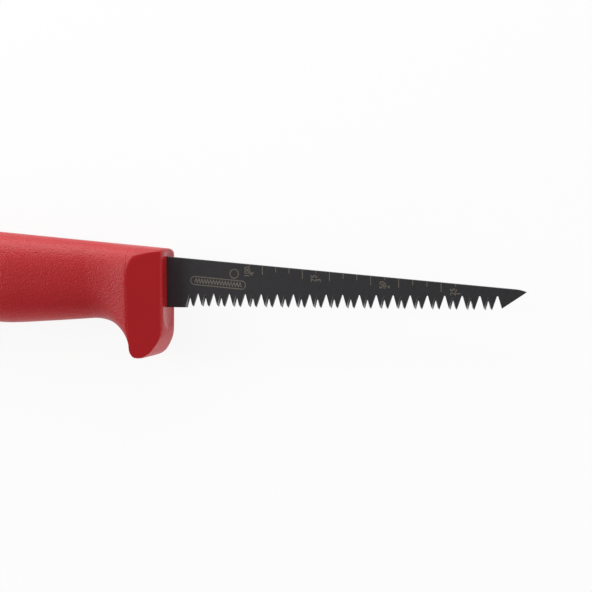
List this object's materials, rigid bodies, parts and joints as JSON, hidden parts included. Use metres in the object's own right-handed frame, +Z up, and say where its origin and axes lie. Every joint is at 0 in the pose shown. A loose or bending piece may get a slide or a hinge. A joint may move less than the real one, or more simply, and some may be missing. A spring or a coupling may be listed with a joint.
{
  "type": "drywall saw",
  "caption": "Fixed-blade drywall jab saw: short tapering toothed steel blade with a sharp point, tang moulded into a one-piece plastic knife handle with a finger guard.",
  "frame": {"origin": "middle of the bounding box, on the surface that the saw lies on with its side down", "axes": "+X along the blade towards its point, +Y from the teeth towards the spine, +Z up through the thickness, square to the blade's side"},
  "size_m": [0.246, 0.0486, 0.0249],
  "materials": {
    "blade_steel": "matt black coating on carbon steel, bare-ground tooth facets, fine etched scale",
    "handle_plastic": "moulded red polypropylene, fine spark-eroded grain on the grip, smoother guard"
  },
  "bodies": {
    "root": {"blade": "blade_steel", "handle": "handle_plastic"}
  },
  "joints": []
}
